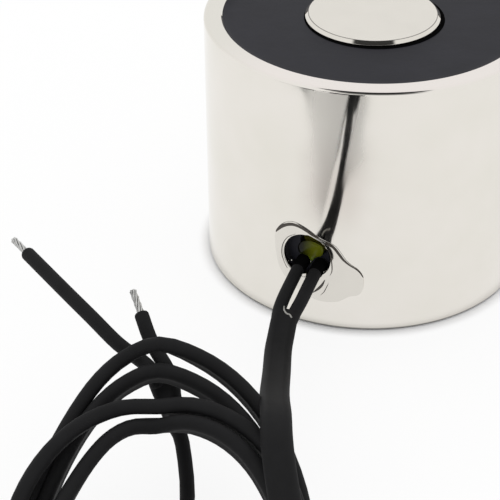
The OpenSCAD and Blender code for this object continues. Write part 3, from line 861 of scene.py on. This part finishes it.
class MAGNET_OT_resin(Operator):
    """Pours the potting's skin with a painted shadow for its crack, the film round the cable hole and the drop over
    the tape
    """

    bl_idname = "magnet.resin"
    bl_label = "Resin"

    def execute(self, context):
        cup, resin = context.scene.magnet_cup, context.scene.magnet_resin
        self.skin(resin)
        self.film(cup, resin)
        self.ridges(cup)
        self.drop(cup)
        return {"FINISHED"}

    def skin(self, resin):
        """The set face of the potting, which climbs a little at the cup, and a flat black ring of painted shadow for
        the crack round the pole.
        """
        lathe, fall = Lathe(160), 0.2 * MM
        near = [0, 0.06, 0.13, 0.22, 0.34, 0.5, 0.75, 1.1, 2]
        radii = [POLE_R + d * MM for d in near] + [CAVITY_R - d * MM for d in reversed(near)]
        rows = []
        for r in radii:
            climb = resin.meniscus * exp((r - CAVITY_R) / fall)
            rows.append(lathe.ring(r, RESIN_TOP + 0.012 * MM + climb, -climb / fall, 1))
        lathe.stack(rows)
        dressed(lathe.mesh("potting_skin"), "potting")
        # The painted shadow is widest on the crack's right, away from the light
        gap, level = Lathe(160), RESIN_TOP + 0.03 * MM
        inner, outer = (gap.ring(POLE_R + width * MM, level, 0, 1) for width in (0, 0.19))
        for i in outer:
            gap.points[i] += Vector((0.15, -0.06, 0)) * MM
        gap.join(inner, outer)
        dressed(gap.mesh("resin_gap_painted_shadow"), "potting", "resin_gap_painted_shadow")

    def film(self, cup, resin):
        """The clear film: thick and steep along its upper edge, thin where it ran down and out."""
        polar = [(radians(a), r * MM) for a, r in FILM]
        outline = ring_of([Vector((r * cos(a), r * sin(a), 0)) for a, r in polar])
        count = len(outline)
        steep = []
        for k, p in enumerate(outline):
            along = outline[(k + 1) % count] - outline[k - 1]
            outward = Vector((along.y, -along.x, 0)).normalized()
            outward = outward if outward.dot(p) > 0 else -outward
            steep.append(eased(outward.dot(Vector((0.5, 0.87, 0))), -0.1, 0.45))
        steep = [sum(steep[(k + d) % count] for d in (-2, -1, 0, 1, 2)) / 5 for k in range(count)]
        slope = [1.0 - 0.76 * share for share in steep]

        def at(k, step, above=0.0):
            """A point of the film; steps 0 to 1 cross its edge, and 1 to 5 go on to the hole."""
            p = outline[k]
            inner = p.normalized() * (cup.hole_r + cup.lip * 0.8)
            room = (p - inner).length
            width = min(slope[k] * MM, 0.8 * room)
            depth = width * step if step <= 1 else width + (room - width) * (step - 1) / 4
            place = p.lerp(inner, min(depth / room, 1))
            rise = sqrt(1 - (1 - min(depth / width, 1)) ** 2) * (1 - 0.6 * eased(step, 3, 5))
            rise = max(rise * resin.film * (0.45 + 0.55 * steep[k]), 0.004 * MM)
            return turned_point(CUP_R + rise + above, cup.hole_z + place.y, place.x / CUP_R)

        steps = (0, 0.12, 0.25, 0.4, 0.6, 0.8, 1, 2, 3, 4, 5)
        rings = [[at(k, step) for k in range(count)] for step in steps]
        made = dressed(webbed("resin_film", rings), "clear_resin")
        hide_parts("resin_spill")
        # Strokes of painted shade, which swell and taper, stand where the edge turns the light away
        for number, (first, last, peak) in enumerate(STROKES):
            points, across = [], (0, 0.3, 0.6, 1)
            for k, p in enumerate(outline):
                t = (first - degrees(atan2(p.y, p.x))) / (first - last)
                if 0 <= t <= 1:
                    swell = (peak * sin(pi * t**0.8) ** 0.6 + 0.01) / slope[k]
                    points += [at(k, swell * share, 0.01 * MM) for share in across]
            faces = grid(len(points) // len(across), len(across), closed=False)
            normals = [Vector((p.x, p.y, 0)) for p in points]
            dressed(surface(f"resin_edge_shade_{number + 1}", points, normals, faces), "clear_resin", "resin_edge_shade")

    def ridges(self, cup):
        """Thin ridges, in the edge's painted shade, and beads that the resin set in."""
        for number, (width, places) in enumerate(RIDGES):
            line = smooth([Vector((x, z, 0)) * MM for x, z in places], 6)
            points, normals = [], []
            for k, (p, along) in enumerate(zip(line, headings(line))):
                across = Vector((along.y, -along.x, 0)).normalized()
                half = width * MM / 2 * (sin(pi * (k + 0.4) / (len(line) - 0.2)) ** 0.7)
                for side, rise in ((-1, 0.06), (0, 0.085), (1, 0.06)):
                    q = p + across * half * side
                    points.append(turned_point(CUP_R + rise * MM, cup.hole_z + q.y, q.x / CUP_R))
                    normals.append(Vector((q.x / CUP_R, -1, 0)))
            faces = grid(len(line), 3, closed=False)
            dressed(surface(f"resin_ridge_{number + 1}", points, normals, faces), "clear_resin", "resin_edge_shade")
        for number, (x, y, z, d) in enumerate(BEADS):
            path = mm(*((x, y, z + d * up) for up in (-0.23, 0, 0.23)))
            wide = [Vector((1, 0, 0))] * len(path)
            dressed(tube(f"resin_bead_{number + 1}", path, wide, round_section(d * MM, 12)), "clear_resin")

    def drop(self, cup):
        """Resin that stands in the hole over the tape, so that the tape's colour, with its painted light and shade,
        shows in it.
        """
        outline = ring_of([Vector((x, z, 0)) * MM for x, z in DROP], 3)
        face = CUP_R - 0.79 * MM
        rings = []
        for share in (1, 0.97, 0.9, 0.78, 0.6, 0.4, 0.2, 0.02):
            bulge = 0.16 * MM * sqrt(max(1 - share**2, 0))
            rings.append([turned_point(face + bulge, cup.hole_z + p.y * share, p.x * share / face) for p in outline])
        dressed(webbed("resin_drop", rings), "tape", "resin_over_tape")


class MAGNET_OT_cord(Operator):
    """Lays the twin cord, its leads at the magnet and its free leads with their tinned tips"""

    bl_idname = "magnet.cord"
    bl_label = "Twin cord"

    def execute(self, context):
        cord = context.scene.magnet_cord
        lead = round_section(cord.lead_d)
        pieces = []
        for hand, side in ((-1, "left"), (1, "right")):
            path = lead_route(hand, cord.lead_d)
            made = dressed(tube(f"lead_{side}_wire", path, flat(path), lead), "cord_pvc")
            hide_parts(f"lead_{side}")
            # Potting crept along the lead to just outside the hole; it takes the painted shadow finish, flat black
            # for the hole's shade
            root = [p for p in path if CUP_R - 0.9 * MM < -p.y < CUP_R + 0.6 * MM]
            crept = tube(f"resin_collar_{side}", root, flat(root), round_section(cord.lead_d + 0.1 * MM))
            dressed(crept, "potting", "resin_gap_painted_shadow")
            pieces.append(made)
        web = smooth(WEB)
        torn = tube("torn_web", web, flat(web), round_section(0.12 * MM, 10))
        pieces.append(dressed(torn, "cord_pvc", "torn_pvc"))
        line, wide = twin_route()
        twin = dressed(tube("twin_cord", line, wide, twin_section(cord.lead_d)), "cord_pvc")
        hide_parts("cord_run", "cord_coil", "cord_tail")
        tree = strand_tree()
        back = (TAIL[-2] - TAIL[-1]).normalized() * 0.5 * MM
        level = flat(TAIL)[-1] * cord.lead_d / 2
        for name, route in (("long", LONG), ("short", SHORT)):
            hand = 1 if (route[0] - TAIL[-1]).dot(level) > 0 else -1
            whole = smooth([TAIL[-1] + back + level * hand, *route])
            covered, bare = parted(whole, cord.tip)
            made = dressed(tube(f"free_lead_{name}", covered, flat(covered), lead), "cord_pvc")
            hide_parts(f"tail_lead_{name}")
            values = {
                "Strands": cord.strands,
                "Wire diameter": cord.wire_d,
                "Twist": radians(220),
                "Metal": bpy.data.materials[FINISH["tin"]],
            }
            core = smooth([bare[0] + (bare[0] - bare[-1]) * 0.15, bare[0], bare[-1]])
            tip = dressed(grown(f"tinned_tip_{name}", core, tree, values), "tin")
            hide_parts(f"tail_tip_{name}")
            pieces += [made, tip]
        return {"FINISHED"}


WHITE = (1, 1, 1, 1)
# The dim room low behind the camera and the camera itself: direction, where each begins and is full, how bright
DIM = (((0.41, -0.91, 0.3), 0.82, 0.95, 0.25), ((0.25, -0.56, 0.79), 0.86, 0.9, 0.04))


class MAGNET_OT_stage(Operator):
    """Sets the floor, the soft surround and the camera"""

    bl_idname = "magnet.stage"
    bl_label = "Stage"

    def execute(self, context):
        scene = context.scene
        scene.view_settings.view_transform = "Standard"
        self.floor()
        self.surround(scene)
        self.camera(scene)
        return {"FINISHED"}

    def floor(self):
        """A pale table that shows white to the camera and to metal, and keeps soft shadows."""
        mesh = bpy.data.meshes.new("floor")
        side, near, far = 0.6, -0.19, 0.6
        mesh.from_pydata([(-side, near, 0), (side, near, 0), (side, far, 0), (-side, far, 0)], [], [(0, 1, 2, 3)])
        table = bpy.data.materials.new("white_table")
        table.use_nodes = True
        tree = table.node_tree
        tree.nodes.clear()
        node = partial(add, tree)
        ray = node("LightPath").outputs
        sees = node("Math", {0: ray["Is Camera Ray"], 1: ray["Is Glossy Ray"]}, operation="MAXIMUM")
        sees = node("Math", {0: sees, 1: ray["Is Transmission Ray"]}, operation="MAXIMUM")
        # The table stays a plain one close to the cup, whose shadow it takes
        place = node("TexCoord").outputs["Object"]
        out = node("VectorMath", {0: place}, operation="LENGTH")
        clear = node("MapRange", {0: out, 1: CUP_R, 2: CUP_R + 1 * MM, 4: 0.85}, **SOFT)
        share = node("Math", {0: sees, 1: clear}, **TIMES)
        white = node("Emission", {"Color": WHITE, "Strength": 1.0})
        matt = node("BsdfDiffuse", {"Color": WHITE})
        both = node("MixShader", {0: share, 1: matt, 2: white})
        node("OutputMaterial", {"Surface": both})
        mesh.materials.append(table)
        made = placed("floor", mesh)

    def surround(self, scene):
        """White all round, with two dark patches, as of a dim room, that only the metal shows."""
        scene.world = bpy.data.worlds.new("soft_surround")
        scene.world.use_nodes = True
        tree = scene.world.node_tree
        tree.nodes.clear()
        node = partial(add, tree)
        place = node("TexCoord").outputs["Generated"]
        shades = []
        for toward, start, full, dark in DIM:
            facing = {0: place, 1: Vector(toward).normalized()}
            facing = node("VectorMath", facing, operation="DOT_PRODUCT")
            shades.append(node("MapRange", {0: facing, 1: start, 2: full, 3: 1.0, 4: dark}, **SOFT))
        dim = node("Math", dict(enumerate(shades)), **TIMES)
        ray = node("LightPath").outputs
        level = node("Mix", {0: ray["Is Glossy Ray"], 2: 1.0, 3: dim})
        glow = node("Background", {"Color": WHITE, "Strength": level})
        node("OutputWorld", {"Surface": glow})

    def camera(self, scene):
        """The camera of the view from the front, above and a little to the right."""
        lens = bpy.data.cameras.new("front_camera")
        lens.sensor_width = 36
        lens.lens = 109.64
        lens.clip_start, lens.clip_end = 0.005, 10
        yaw, pitch, roll = radians(-24.3), 0.5977, -0.0088
        stand = Matrix.Translation(Vector((33.86, -97.39, 68.76)) * MM)
        for angle, axis in ((-yaw, "Z"), (pi / 2 - pitch, "X"), (roll, "Z")):
            stand = stand @ Matrix.Rotation(angle, 4, axis)
        made = placed("front_camera", lens)
        made.matrix_world = stand
        scene.camera = made


OPERATORS = (MAGNET_OT_cup, MAGNET_OT_core, MAGNET_OT_resin, MAGNET_OT_cord, MAGNET_OT_stage)
GROUPS = {"magnet_cup": MagnetCup, "magnet_core": MagnetCore, "magnet_resin": MagnetResin, "magnet_cord": MagnetCord}


class VIEW3D_PT_magnet(Panel):
    """Lists the sizes, the finishes and the steps"""

    bl_label = "Holding electromagnet"
    bl_space_type = "VIEW_3D"
    bl_region_type = "UI"
    bl_category = "Magnet"

    def draw(self, context):
        for name, group in GROUPS.items():
            box = self.layout.box()
            for prop in group.__annotations__:
                box.prop(getattr(context.scene, name), prop)
        for step in OPERATORS:
            self.layout.operator(step.bl_idname)


def register():
    for made in (*GROUPS.values(), *OPERATORS, VIEW3D_PT_magnet):
        bpy.utils.register_class(made)
    for name, group in GROUPS.items():
        setattr(bpy.types.Scene, name, PointerProperty(type=group))


def unregister():
    for name in GROUPS:
        delattr(bpy.types.Scene, name)
    for made in reversed((*GROUPS.values(), *OPERATORS, VIEW3D_PT_magnet)):
        bpy.utils.unregister_class(made)


def main():
    register()
    FINISH.update({slot: made.name for slot, made in finishes(bpy.context.scene).items()})
    for row in FRAME["record"]["subparts"]:
        node = FRAME["nodes"][row["node"]]
        node.data.materials.clear()
        node.data.materials.append(bpy.data.materials[FINISH[row["material_slot"]]])
    for step in OPERATORS:
        family, name = step.bl_idname.split(".")
        getattr(getattr(bpy.ops, family), name)()


if __name__ == "__main__":
    main()
